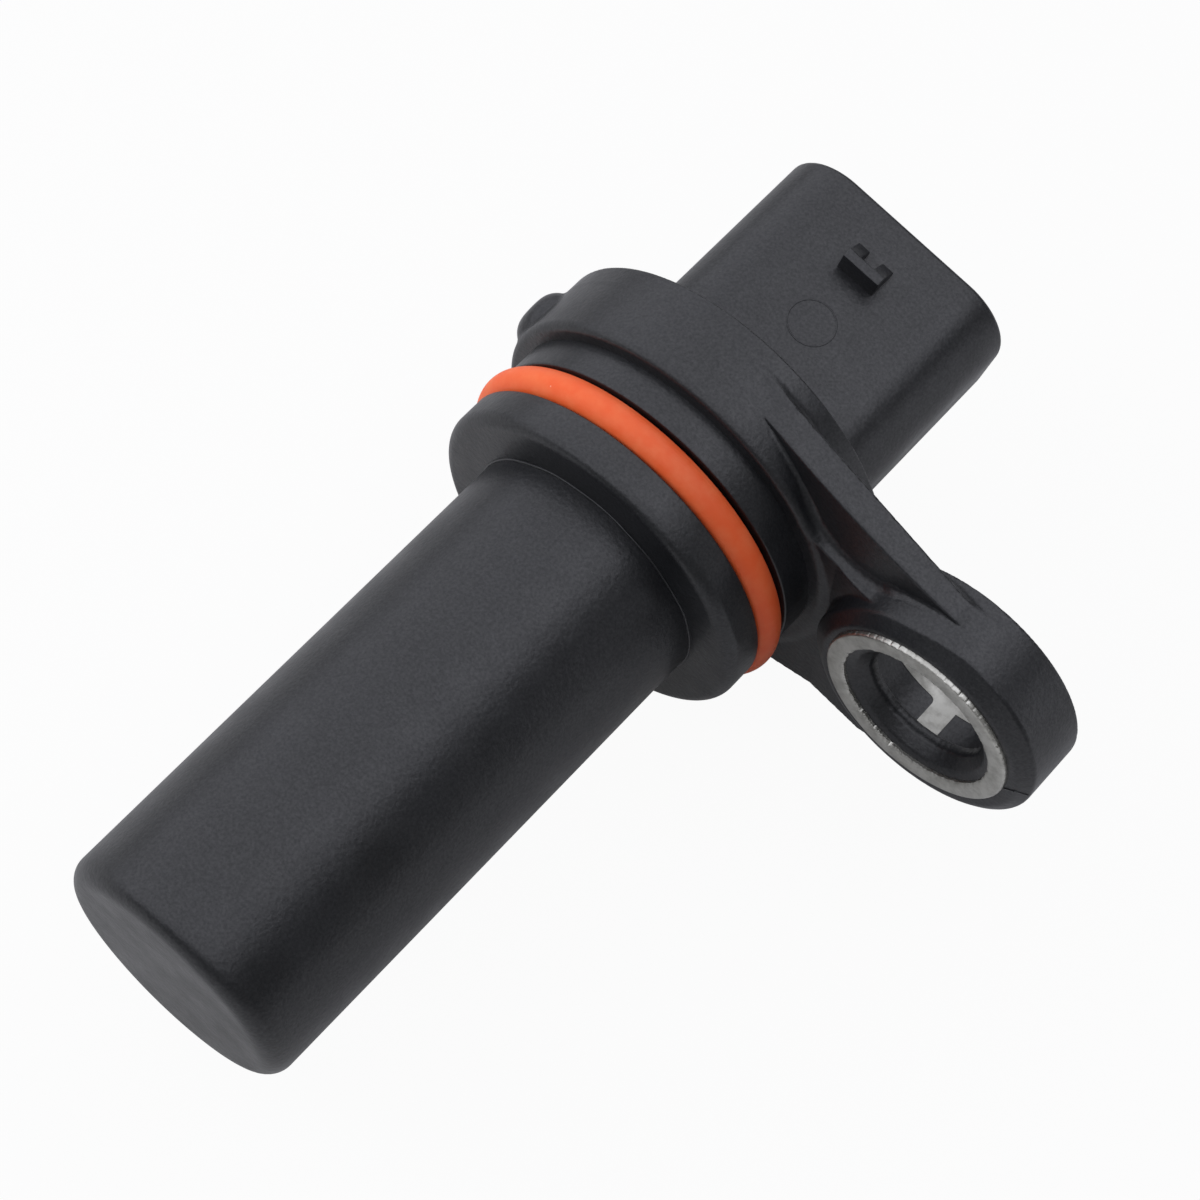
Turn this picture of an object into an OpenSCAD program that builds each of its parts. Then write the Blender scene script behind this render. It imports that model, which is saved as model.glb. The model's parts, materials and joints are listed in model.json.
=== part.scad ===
// Crankshaft position sensor: a plain round nose with a back-biased magnetic chip at its tip,
// an overmoulded spigot with a seal ring, a round flange with one bolt ear, and a three-way
// plug connector on the same axis.
//
// The pieces are drawn standing up: z = 0 is the seat plane (the front face of the bolt
// bushing), +z runs to the nose tip, +x to the bolt ear. lay() then turns them so that the
// nose points along -Y and the ear along +X. Distances called "setback" are measured from
// the seat plane towards the connector.

/* [Nose] */
// Outside diameter of the nose
nose_d = 18; // [15:0.5:21]
// Seat plane to the end of the nose
nose_reach = 44.3; // [36:0.1:60]
// Rounding of the tip's edge
nose_tip_r = 1.5; // [0.4:0.1:2]
// Side wall of the nose cup
cup_wall = 1.3; // [0.8:0.1:1.6]
// End wall of the nose cup
cup_tip_wall = 1; // [0.6:0.1:1.6]
// Length of the cup that is buried in the spigot and flange
cup_engage = 10.5; // [8:0.1:11.5]
// Step from the nose down to the cup's buried end
cup_step = 0.3; // [0.2:0.05:0.5]
// Height of the buried anchor rib on the cup
anchor_h = 0.8; // [0.3:0.1:1]
// Length of the buried anchor rib
anchor_l = 1.4; // [0.8:0.1:2]
// Buried end of the cup to the anchor rib
anchor_from_root = 1; // [0.6:0.1:2]

/* [Spigot and seal] */
// Diameter of the two lands beside the seal groove
spigot_d = 25; // [24.4:0.1:27]
// Seat plane to the front face of the spigot
spigot_l = 5.8; // [5:0.1:8]
// Rounding of the spigot's front edge
spigot_edge_r = 0.9; // [0.3:0.1:1.6]
// Length of the land in front of the groove
front_land = 2.8; // [2:0.05:3.2]
// Width of the seal groove
groove_w = 2.8; // [2.6:0.05:3.4]
// Depth of the seal groove below the lands
groove_depth = 1.9; // [1.6:0.05:2.1]
// Thickness of the seal ring's round section
oring_section = 2.4; // [2:0.05:2.5]

/* [Flange] */
// Diameter of the round flange
flange_d = 27.5; // [27:0.1:32]
// Setback of the flange's front face
flange_setback = 2.1; // [1.2:0.1:2.6]
// Thickness of the flange
flange_t = 6.1; // [5:0.1:8]
// Rounding of the flange's edges
flange_edge_r = 0.5; // [0.2:0.1:1]
// Diameter of the nub on the flange's side away from the ear
nub_d = 4.8; // [3:0.1:5.2]
// How far the nub stands out of the flange
nub_proud = 0.9; // [0.5:0.1:2]
// Rounding of the nub's edge
nub_edge_r = 0.7; // [0.3:0.1:1.2]
// Turn of the nub about the sensor's axis, towards the lock nib
nub_turn = 17; // [0:1:40]

/* [Bolt ear] */
// Sensor axis to bolt axis
bolt_pitch = 23; // [21.5:0.1:28]
// Diameter of the ear's round end
ear_d = 17.7; // [16.5:0.1:20]
// Setback of the ear's front face
ear_setback = 2.4; // [1.6:0.1:2.8]
// Thickness of the ear's round end
ear_t = 3.5; // [3:0.1:5]
// Diameter of the raised pad round the bushing
pad_d = 16.6; // [15.8:0.1:17.4]
// How far the bushing stands out of the pad
bushing_proud = 0.35; // [0.1:0.05:0.8]
// Setback of the thin web between flange and ear
web_setback = 3.7; // [2.8:0.1:4]
// Thickness of the thin web
web_t = 1.5; // [1.2:0.1:2.4]
// Hollow radius at the neck between flange and ear
neck_r = 5.8; // [4:0.1:9]

/* [Bolt bushing] */
// Outside diameter of the steel bushing
bushing_od = 14.4; // [13.4:0.1:15]
// Inside diameter of the steel bushing
bushing_id = 11.6; // [11:0.1:12.6]
// Length of the steel bushing
bushing_l = 6; // [5.4:0.1:8]
// Broken edges of the bushing
bushing_edge = 0.2; // [0.1:0.05:0.4]
// Front and rear rings left whole beside the windows
bushing_ring = 1.3; // [0.8:0.1:1.8]
// Width of the four legs between the windows
bushing_leg_w = 1.7; // [1:0.1:3]
// Free diameter of the moulded lip that keeps the bolt in place
lip_d = 9; // [8:0.1:10]
// Length of the lip's throat
lip_throat = 0.8; // [0.5:0.1:1.5]

/* [Connector] */
// Outside width of the shroud
shroud_w = 19; // [17.5:0.1:20]
// Outside height of the shroud
shroud_h = 12.6; // [11.6:0.1:15]
// Corner radius of the shroud
shroud_r = 4.3; // [3:0.1:5]
// Wall of the shroud
shroud_wall = 1.5; // [1.1:0.1:2]
// Length of the shroud behind the flange
shroud_l = 17.5; // [15:0.1:22]
// Thickness of solid moulding between flange and socket floor
socket_floor = 2.9; // [2:0.1:4]
// Turn of the connector about the sensor's axis, towards the ear
connector_turn = 11.5; // [0:0.5:30]
// Spacing of the terminals
pin_pitch = 3.5; // [3:0.1:4]
// Width of a terminal's blade
blade_w = 1.5; // [1:0.1:1.8]
// Thickness of the terminal sheet
blade_t = 0.6; // [0.4:0.1:0.8]
// Blade end to shroud rim
blade_setback = 5.3; // [4.5:0.1:7]

/* [Lock nib] */
// Width of the lock nib
nib_w = 3.1; // [2:0.1:5]
// Height of the lock nib
nib_h = 1.6; // [1:0.1:2.2]
// Length of the lock nib along the axis
nib_l = 2.3; // [1.5:0.1:4]
// Shroud rim to the nib's upright face
nib_from_rim = 6; // [5:0.1:8]
// Width of the slot between the nib's two ramps
nib_slot_w = 1.1; // [0.6:0.1:1.6]
// Radius of the ejector pin's mark
mark_r = 1.7; // [1:0.1:2.5]
// Shroud rim to the centre of the ejector pin's mark
mark_from_rim = 10.6; // [9:0.1:12]
// Depth and width of the mark's fine line
mark_line = 0.12; // [0.05:0.01:0.2]

/* [Sensing core] */
// Diameter of the bias magnet
magnet_d = 8; // [6:0.5:9]
// Length of the bias magnet
magnet_l = 5; // [3:0.5:7]
// Thickness of the pole plate
pole_t = 0.8; // [0.5:0.1:1.2]
// Width of the chip's body
chip_w = 4.2; // [3.6:0.1:5]
// Height of the chip's body
chip_h = 3.2; // [2.6:0.1:4]
// Thickness of the chip's body
chip_t = 1.5; // [1:0.1:2]
// Spacing of the chip's leads
lead_pitch = 1.5; // [1.3:0.1:2]
// Width of a chip lead
lead_w = 0.5; // [0.3:0.05:0.7]
// Thickness of a chip lead
lead_t = 0.4; // [0.2:0.05:0.5]
// Length of a lead's foot on its terminal
lead_foot = 2.6; // [1.5:0.1:3.5]
// Width of a terminal's tail under the lead
tail_w = 0.9; // [0.6:0.05:1.1]
// Width of a noise capacitor, from terminal to terminal
capacitor_w = 2.1; // [1.8:0.1:2.6]
// Height of a noise capacitor
capacitor_h = 1.2; // [0.8:0.1:1.6]
// Length of a noise capacitor
capacitor_l = 1.3; // [1:0.1:2]
// Distance over which the terminals close up from pin spacing to lead spacing
splay_l = 5; // [4:0.5:8]

/* [Hidden] */
$fn = 64;

// Gap left between pieces that are moulded or pressed together
fit_gap = 0.02;
// Overshoot of a cut past the face it opens
over = 1;
// Room left round loose inner pieces in their pockets
pocket_gap = 0.4;
// Moulding left between the inner holder and the flange's rear face
holder_cover = 1;
// Height of the chip leads over the magnet, and their run behind it
lead_over = 0.6;
lead_run = 1.5;
// Solid length of the holder between the capacitors' pocket and the terminals' bend
splay_margin = 2;
// Depth of the lip's mouth inside the bushing, and the slope at its root
lip_mouth = 0.5;
lip_slope = 0.3;

plastic_color = "#2b2c2e";
cup_color = "#303134";
seal_color = "#e0582f";
steel_color = "#a9a9a4";
carrier_color = "#3c3f46";
chip_color = "#1a1a1c";
magnet_color = "#6f7378";
tin_color = "#c3c3bd";
ceramic_color = "#b08a58";

// Lengthwise stations along z
flange_back = flange_setback + flange_t;
shroud_end = flange_back + shroud_l;
socket_z = flange_back + socket_floor;
groove_front = spigot_l - front_land;
cup_root = spigot_l - cup_engage;
carrier_root = -(flange_back - holder_cover);
ear_back = ear_setback + ear_t;
tip_inside = nose_reach - cup_tip_wall;
chip_back = tip_inside - fit_gap - chip_t;
pole_back = chip_back - fit_gap - pole_t;
magnet_back = pole_back - fit_gap - magnet_l;

// Radii
groove_r = spigot_d / 2 - groove_depth;
cup_inside_r = nose_d / 2 - cup_wall;
cup_root_r = nose_d / 2 - cup_step;
carrier_r = cup_inside_r - fit_gap;
bore_r = bushing_id / 2;

// Chip leads: out over the magnet, back along the carrier, down to the terminals
lead_y = magnet_d / 2 + lead_over;
lead_drop_z = magnet_back - lead_run;
chip_mid_z = chip_back + chip_t / 2;
tail_end_z = lead_drop_z + lead_t + pocket_gap;
foot_end_z = lead_drop_z - lead_foot;
capacitor_gap = 0.6;
pocket_end_z = foot_end_z - 2 * (capacitor_l + capacitor_gap) - pocket_gap;
splay_front = pocket_end_z - splay_margin;

// Window span in the bushing, as setbacks
window_front = bushing_ring;
window_back = bushing_l - bushing_ring;
lip_front = bushing_proud;
lip_mouth_r = bore_r - lip_mouth;
throat_front = bushing_ring;

// Turns a standing piece down: z becomes -Y and y becomes Z
module lay() {
    rotate([90, 0, 0]) children();
}

// Turns a piece about the axis to the connector's own upright
module connector_frame() {
    rotate([0, 0, -connector_turn]) children();
}

// Cuts a profile's corner at [r, z] to a round; sz is the side on which the face lies
module corner_cut(r, z, round_r, sz) {
    translate([r - round_r, z - sz * round_r])
        difference() {
            translate([0, sz > 0 ? 0 : -round_r - over])
                square([round_r + over, round_r + over]);
            circle(round_r);
        }
}

// Rounded rectangle centred on the origin
module round_rect(w, h, r) {
    square([w - 2 * r, h], center = true);
    square([w, h - 2 * r], center = true);
    for (sx = [-1, 1], sy = [-1, 1])
        translate([sx * (w / 2 - r), sy * (h / 2 - r)]) circle(r);
}

// Band of four straight sides that touch the flange's and the ear's circles
module tangent_outline() {
    lean = (flange_d - ear_d) / 2 / bolt_pitch;
    rise = sqrt(1 - lean * lean);
    big = flange_d / 2;
    small = ear_d / 2;
    polygon([
        [big * lean, big * rise], [big * lean, -big * rise],
        [bolt_pitch + small * lean, -small * rise], [bolt_pitch + small * lean, small * rise]
    ]);
    circle(big);
    translate([bolt_pitch, 0]) circle(small);
}

// Neck with hollow sides: a round of neck_r touches both circles on each side
module neck_outline() {
    big = flange_d / 2;
    small = ear_d / 2;
    far = big + neck_r;
    near = small + neck_r;
    hollow_x = (bolt_pitch * bolt_pitch + far * far - near * near) / (2 * bolt_pitch);
    hollow_y = sqrt(far * far - hollow_x * hollow_x);
    difference() {
        polygon([
            [0, 0], [hollow_x * big / far, hollow_y * big / far], [hollow_x, hollow_y],
            [bolt_pitch - (bolt_pitch - hollow_x) * small / near, hollow_y * small / near],
            [bolt_pitch, 0],
            [bolt_pitch - (bolt_pitch - hollow_x) * small / near, -hollow_y * small / near],
            [hollow_x, -hollow_y], [hollow_x * big / far, -hollow_y * big / far]
        ]);
        for (s = [-1, 1]) translate([hollow_x, s * hollow_y]) circle(neck_r);
    }
}

// A slab between two setbacks
module slab(from, to) {
    translate([0, 0, -to]) linear_extrude(to - from) children();
}

// The four windows of the bushing, seen along its axis
module window_plan(inner_r, outer_r, leg_w) {
    difference() {
        circle(outer_r);
        circle(inner_r);
        square([leg_w, 3 * outer_r], center = true);
        square([3 * outer_r, leg_w], center = true);
    }
}

// Spigot with its seal groove, and the flange
module spigot_and_flange() {
    rotate_extrude() difference() {
        union() {
            translate([0, -flange_back]) square([spigot_d / 2, flange_back + spigot_l]);
            translate([0, -flange_back]) square([flange_d / 2, flange_t]);
        }
        translate([groove_r, groove_front - groove_w]) square([groove_depth + over, groove_w]);
        corner_cut(spigot_d / 2, spigot_l, spigot_edge_r, 1);
        corner_cut(flange_d / 2, -flange_setback, flange_edge_r, 1);
        corner_cut(flange_d / 2, -flange_back, flange_edge_r / 2, -1);
    }
}

module bolt_ear() {
    slab(web_setback, web_setback + web_t) tangent_outline();
    slab(ear_setback, web_setback + web_t) neck_outline();
    translate([bolt_pitch, 0, 0]) {
        slab(ear_setback, ear_back) circle(d = ear_d);
        slab(bushing_proud, ear_back) circle(d = pad_d);
    }
}

// Moulded round nub on the flange's far side, half way along it
module flange_nub() {
    nub_end = flange_d / 2 + nub_proud;
    translate([0, 0, -(flange_setback + flange_t / 2)]) rotate([0, -90, -nub_turn])
        rotate_extrude() difference() {
            translate([0, nose_d / 2 + 2 * over]) square([nub_d / 2, nub_end - nose_d / 2 - 2 * over]);
            corner_cut(nub_d / 2, nub_end, nub_edge_r, 1);
        }
}

// Lock nib: upright face towards the flange, two ramps towards the plug
module lock_nib() {
    foot = nib_h / 5;
    crest = nib_l / 3;
    difference() {
        translate([-nib_w / 2, shroud_h / 2, -shroud_end + nib_from_rim])
            rotate([90, 0, 90]) linear_extrude(nib_w)
                polygon([[-foot, 0], [nib_h, 0], [nib_h, -crest], [foot, -nib_l], [-foot, -nib_l]]);
        translate([-nib_slot_w / 2, shroud_h / 2, -shroud_end + nib_from_rim - nib_l - over])
            cube([nib_slot_w, nib_h + over, nib_l - crest + over]);
    }
}

module ejector_mark() {
    translate([0, shroud_h / 2 - mark_line, -shroud_end + mark_from_rim])
        rotate([-90, 0, 0]) linear_extrude(mark_line + over) difference() {
            circle(mark_r);
            circle(mark_r - mark_line);
        }
}

module connector_solid() {
    slab(flange_back - over, shroud_end) round_rect(shroud_w, shroud_h, shroud_r);
    lock_nib();
}

module connector_socket() {
    slab(socket_z, shroud_end + over)
        round_rect(shroud_w - 2 * shroud_wall, shroud_h - 2 * shroud_wall, shroud_r - shroud_wall);
}

// Moulding that passes through the bushing's windows, and the lip inside it
module bushing_plugs() {
    translate([bolt_pitch, 0, 0]) {
        slab(window_front + fit_gap, window_back - fit_gap)
            window_plan(bore_r, bushing_od / 2 + 2 * fit_gap, bushing_leg_w + 2 * fit_gap);
        rotate_extrude() polygon([
            [bore_r - fit_gap, -lip_front], [lip_mouth_r, -lip_front],
            [lip_d / 2, -throat_front], [lip_d / 2, -throat_front - lip_throat],
            [bore_r - fit_gap, -throat_front - lip_throat - lip_slope]
        ]);
        slab(window_front + fit_gap, throat_front + lip_throat)
            window_plan(lip_d / 2, bore_r, bushing_leg_w + 2 * fit_gap);
    }
}

// Everything the overmould is shaped round
module core_cavity() {
    translate([0, 0, cup_root - fit_gap])
        cylinder(r = cup_root_r + fit_gap, h = spigot_l - cup_root + over);
    translate([0, 0, cup_root]) anchor_rib(fit_gap);
    translate([0, 0, carrier_root - fit_gap])
        cylinder(r = carrier_r + fit_gap, h = cup_root - carrier_root + over);
    connector_frame() for (i = [-1, 0, 1]) terminal_solid(i, fit_gap);
}

module body_moulding() {
    color(plastic_color) lay() union() {
        difference() {
            union() {
                spigot_and_flange();
                bolt_ear();
                flange_nub();
                connector_frame() connector_solid();
            }
            core_cavity();
            connector_frame() {
                connector_socket();
                ejector_mark();
            }
            translate([bolt_pitch, 0, -bushing_l - over])
                cylinder(d = bushing_od + 2 * fit_gap, h = bushing_l + 2 * over);
        }
        bushing_plugs();
    }
}

// Rib round the buried end of the cup
module anchor_rib(grow) {
    translate([0, 0, anchor_from_root - grow])
        cylinder(r = nose_d / 2 + anchor_h + grow, h = anchor_l + 2 * grow);
}

module nose_cup() {
    color(cup_color) lay() union() {
        rotate_extrude() difference() {
            union() {
                translate([0, cup_root]) square([cup_root_r, nose_reach - cup_root]);
                translate([0, spigot_l + fit_gap]) square([nose_d / 2, nose_reach - spigot_l - fit_gap]);
            }
            translate([0, cup_root - over]) square([cup_inside_r, tip_inside - cup_root + over]);
            corner_cut(nose_d / 2, nose_reach, nose_tip_r, 1);
        }
        difference() {
            translate([0, 0, cup_root]) anchor_rib(0);
            translate([0, 0, cup_root - over])
                cylinder(r = cup_root_r - cup_wall / 3, h = anchor_from_root + anchor_l + 2 * over);
        }
    }
}

module o_ring() {
    ring_r = groove_r + fit_gap + oring_section / 2;
    color(seal_color) lay()
        translate([0, 0, groove_front - fit_gap - oring_section / 2])
            rotate_extrude() translate([ring_r, 0]) circle(d = oring_section);
}

module bolt_bushing() {
    color(steel_color) lay() translate([bolt_pitch, 0, 0]) difference() {
        rotate_extrude() difference() {
            translate([bore_r, -bushing_l]) square([bushing_od / 2 - bore_r, bushing_l]);
            corner_cut(bushing_od / 2, 0, bushing_edge, 1);
            corner_cut(bushing_od / 2, -bushing_l, bushing_edge, -1);
        }
        slab(window_front, window_back) window_plan(bore_r - over, bushing_od / 2 + over, bushing_leg_w);
    }
}

// Outline of terminal i (-1, 0, 1) in its own sheet, from blade to tail
function terminal_outline(i, grow) =
    let (
        blade = blade_w / 2 + grow,
        tail = tail_w / 2 + grow,
        blade_x = i * pin_pitch,
        tail_x = i * lead_pitch,
        blade_end = -(shroud_end - blade_setback) - grow,
        splay_back = splay_front - splay_l,
        point = blade_w / 5
    ) [
        [blade_x - blade + point, blade_end], [blade_x + blade - point, blade_end],
        [blade_x + blade, blade_end + 2 * point], [blade_x + blade, splay_back],
        [tail_x + tail, splay_front], [tail_x + tail, tail_end_z + grow],
        [tail_x - tail, tail_end_z + grow], [tail_x - tail, splay_front],
        [blade_x - blade, splay_back], [blade_x - blade, blade_end + 2 * point]
    ];

module terminal_solid(i, grow) {
    rotate([90, 0, 0])
        linear_extrude(blade_t + 2 * grow, center = true) polygon(terminal_outline(i, grow));
}

module terminal(i) {
    color(tin_color) lay() connector_frame() terminal_solid(i, 0);
}

// Chip lead i, bent out of flat strip
module chip_lead(i) {
    foot_y = blade_t / 2 + fit_gap;
    out_y = chip_h / 2;
    color(tin_color) lay() connector_frame()
        translate([i * lead_pitch - lead_w / 2, 0, 0]) rotate([90, 0, 90]) linear_extrude(lead_w) {
            translate([out_y, chip_mid_z - lead_t / 2]) square([lead_y + lead_t - out_y, lead_t]);
            translate([lead_y, lead_drop_z]) square([lead_t, chip_mid_z + lead_t / 2 - lead_drop_z]);
            translate([foot_y, lead_drop_z]) square([lead_y + lead_t - foot_y, lead_t]);
            translate([foot_y, foot_end_z]) square([lead_t, lead_foot + lead_t]);
        }
}

module hall_chip() {
    color(chip_color) lay() connector_frame()
        translate([-chip_w / 2, -chip_h / 2, chip_back]) cube([chip_w, chip_h, chip_t]);
}

module pole_plate() {
    color(steel_color) lay() translate([0, 0, pole_back]) cylinder(d = magnet_d, h = pole_t);
}

module bias_magnet() {
    color(magnet_color) lay() translate([0, 0, magnet_back]) cylinder(d = magnet_d, h = magnet_l);
}

// Noise capacitor k (0, 1) across two neighbouring terminal tails
module noise_capacitor(k) {
    station = foot_end_z - (k + 1) * (capacitor_l + capacitor_gap);
    color(ceramic_color) lay() connector_frame()
        translate([(k - 0.5) * lead_pitch - capacitor_w / 2, blade_t / 2 + fit_gap, station])
            cube([capacitor_w, capacitor_h, capacitor_l]);
}

// Inner holder: terminals moulded in, magnet in its end, leads in a channel along the top
module sensor_carrier() {
    channel_w = 2 * lead_pitch + lead_w + 2 * pocket_gap;
    pocket_w = lead_pitch + capacitor_w + 2 * pocket_gap;
    color(carrier_color) lay() connector_frame() difference() {
        translate([0, 0, carrier_root]) cylinder(r = carrier_r, h = tip_inside - fit_gap - carrier_root);
        translate([0, 0, magnet_back - fit_gap])
            cylinder(d = magnet_d + 2 * fit_gap, h = tip_inside - magnet_back + over);
        translate([-channel_w / 2, lead_y - pocket_gap, lead_drop_z - pocket_gap])
            cube([channel_w, carrier_r, tip_inside - lead_drop_z + over]);
        translate([-channel_w / 2, 0, chip_mid_z - lead_t])
            cube([channel_w, carrier_r, tip_inside - chip_mid_z + lead_t + over]);
        translate([-pocket_w / 2, blade_t / 2, pocket_end_z])
            cube([pocket_w, carrier_r, tail_end_z - pocket_end_z + fit_gap]);
        for (i = [-1, 0, 1]) terminal_solid(i, fit_gap);
    }
}

body_moulding();
nose_cup();
o_ring();
bolt_bushing();
sensor_carrier();
hall_chip();
chip_lead(-1);  // chip_lead_supply
chip_lead(0);  // chip_lead_signal
chip_lead(1);  // chip_lead_ground
pole_plate();
bias_magnet();
noise_capacitor(0);  // capacitor_supply
noise_capacitor(1);  // capacitor_signal
terminal(-1);  // terminal_supply
terminal(0);  // terminal_signal
terminal(1);  // terminal_ground
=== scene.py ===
"""Looks of a crankshaft position sensor: moulded body, nose, seal ring, bolt bushing and plug."""
import json
import math

import bpy
import numpy as np
from bpy.props import FloatProperty, FloatVectorProperty, IntProperty, PointerProperty
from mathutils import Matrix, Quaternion, Vector


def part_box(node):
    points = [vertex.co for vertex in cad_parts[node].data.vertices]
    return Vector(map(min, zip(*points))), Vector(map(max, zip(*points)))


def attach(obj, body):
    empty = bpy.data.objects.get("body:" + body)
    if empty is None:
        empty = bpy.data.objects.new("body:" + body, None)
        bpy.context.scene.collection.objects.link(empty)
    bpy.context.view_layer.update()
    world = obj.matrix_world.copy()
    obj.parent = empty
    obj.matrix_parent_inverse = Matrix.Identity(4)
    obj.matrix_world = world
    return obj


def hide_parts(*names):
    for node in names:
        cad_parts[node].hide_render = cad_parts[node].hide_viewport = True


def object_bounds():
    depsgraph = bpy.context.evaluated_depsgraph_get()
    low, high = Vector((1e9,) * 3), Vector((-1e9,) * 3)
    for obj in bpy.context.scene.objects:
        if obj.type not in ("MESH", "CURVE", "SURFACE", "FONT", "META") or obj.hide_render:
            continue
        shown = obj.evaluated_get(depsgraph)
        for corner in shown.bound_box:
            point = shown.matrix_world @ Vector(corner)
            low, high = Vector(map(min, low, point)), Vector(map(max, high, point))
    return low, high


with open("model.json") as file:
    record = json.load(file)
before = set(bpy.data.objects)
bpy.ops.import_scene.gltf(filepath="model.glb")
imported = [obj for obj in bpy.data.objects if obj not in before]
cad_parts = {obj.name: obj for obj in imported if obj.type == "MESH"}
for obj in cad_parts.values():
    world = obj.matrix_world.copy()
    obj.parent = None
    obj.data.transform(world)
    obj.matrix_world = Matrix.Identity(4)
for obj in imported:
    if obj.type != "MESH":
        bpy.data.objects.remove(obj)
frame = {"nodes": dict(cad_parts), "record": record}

CAD_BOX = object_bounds()

bl_info = {
    "name": "Crankshaft Position Sensor",
    "version": (1, 0, 0),
    "blender": (4, 5, 0),
    "location": "3D View > Sidebar > Sensor",
    "description": "Builds the visible pieces, finishes and studio of a crankshaft position sensor",
    "category": "Object",
}

MM = 0.001
MOUNTS = {m["name"]: m for m in frame["record"]["mounts"]}
BODY_LOW, BODY_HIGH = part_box("body_moulding")
RING_LOW, RING_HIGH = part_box("o_ring")
BUSH_LOW, BUSH_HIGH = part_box("bolt_bushing")
BOLT_X, BOLT_Z = (MOUNTS["bolt_hole"]["pos_m"][k] / MM for k in (0, 2))
BODY_NYLON = "glass_filled_nylon_moulded"
# The pad's slope round the bushing: its centre off the bolt in millimetres, and the sine, cosine
# and rise of its angle, 35 degrees. It sits a little low, so the ear's lower side keeps a wider rim.
PAD_X, PAD_Z = 0.1, -0.45
PAD_SINE, PAD_COSINE, PAD_RISE = 0.574, 0.819, 0.7


def linear(code):
    """Linear colour of an sRGB hex value"""
    parts = [int(code[k:k + 2], 16) / 255 for k in (1, 3, 5)]
    return tuple(c / 12.92 if c <= 0.04045 else ((c + 0.055) / 1.055) ** 2.4 for c in parts)


def length(name, description, millimetres):
    """A size in the sidebar, given here in millimetres"""
    return FloatProperty(name=name, description=description, default=millimetres * MM,
                         unit="LENGTH", precision=5, min=0.0)


def turn(name, description, degrees):
    """An angle in the sidebar, given here in degrees"""
    return FloatProperty(name=name, description=description, default=math.radians(degrees), subtype="ANGLE")


def colour(name, description, code):
    """A colour in the sidebar, given here as sRGB hex"""
    return FloatVectorProperty(name=name, description=description, subtype="COLOR",
                               default=linear(code), min=0.0, max=1.0)


class BodySizes(bpy.types.PropertyGroup):
    """Sizes of the moulded body"""
    pitch: length("Skin pitch", "Spacing of the points on the moulded skin", 0.176)
    spigot_r: length("Spigot radius", "Radius of the two lands beside the seal groove", 12.5)
    spigot_round: length("Spigot rounding", "Rounding of the spigot's front edge", 0.9)
    groove_r: length("Groove radius", "Radius of the seal groove's floor", 10.6)
    groove_front: length("Groove front", "Seat plane to the groove's front wall", 3.0)
    groove_back: length("Groove back", "Seat plane to the groove's rear wall", 0.3)
    flange_r: length("Flange radius", "Radius of the round flange", BODY_HIGH.z / MM)
    flange_front: length("Flange front", "Setback of the flange's front face", 2.1)
    flange_back: length("Flange back", "Setback of the flange's rear face", 8.2)
    flange_round: length("Flange rounding", "Rounding of the flange's front edge", 0.55)
    ear_r: length("Ear radius", "Radius of the ear's round end", 8.85)
    ear_front: length("Ear front", "Setback of the ear's front edge, where the pad's slope ends", 1.35)
    ear_back: length("Ear back", "Setback of the ear's rear face", 5.65)
    slope_r: length("Slope radius", "Radius at which the pad's slope reaches the ear's front edge", 9.25)
    pad_front: length("Pad front", "Setback of the pad's front edge at the bushing", 0.35)
    web_front: length("Web front", "Setback of the thin web's front edge, midway along it", 3.2)
    web_back: length("Web back", "Setback of the thin web's rear edge, midway along it", 5.4)
    neck_r: length("Neck hollow", "Hollow radius at the neck between flange and ear", 5.6)
    fillet: length("Fillet", "Hollow rounding where the nub meets the flange", 0.16)
    bore_r: length("Bore radius", "Radius of the moulding inside the bushing's windows", 5.84)
    lip_r: length("Lip radius", "Free radius of the lip that keeps the bolt", 4.5)
    nub_middle: length("Nub setback", "Setback of the nub's middle", 4.7)
    nub_r: length("Nub radius", "Radius of the nub opposite the ear", 2.4)
    nub_reach: length("Nub reach", "Sensor axis to the nub's end", 14.65)
    nub_turn: turn("Nub turn", "Turn of the nub towards the lock nib", 17)


class PlugSizes(bpy.types.PropertyGroup):
    """Sizes of the plug connector"""
    width: length("Shroud width", "Outside width of the shroud", 19.0)
    height: length("Shroud height", "Outside height of the shroud", 12.6)
    corner: length("Shroud corner", "Corner radius of the shroud", 4.3)
    wall: length("Shroud wall", "Wall of the shroud", 1.5)
    offset: length("Shroud offset", "Offset of the shroud towards the ear", 0.6)
    floor: length("Socket floor", "Setback of the socket's floor", 11.1)
    turn: turn("Connector turn", "Turn of the connector towards the ear", 11.5)
    nib_width: length("Nib width", "Width of the lock nib", 3.1)
    nib_height: length("Nib height", "Height of the lock nib", 1.6)
    nib_length: length("Nib length", "Length of the lock nib", 2.3)
    nib_back: length("Nib place", "Shroud rim to the nib's upright face", 5.8)
    nib_slot: length("Nib slot", "Width of the slot between the nib's ramps", 1.1)
    nib_edge: length("Nib edge", "Bevel of the nib's edges", 0.09)
    mark_r: length("Mark radius", "Radius of the ejector pin's mark", 1.7)
    mark_back: length("Mark place", "Shroud rim to the mark's centre", 10.3)


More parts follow.
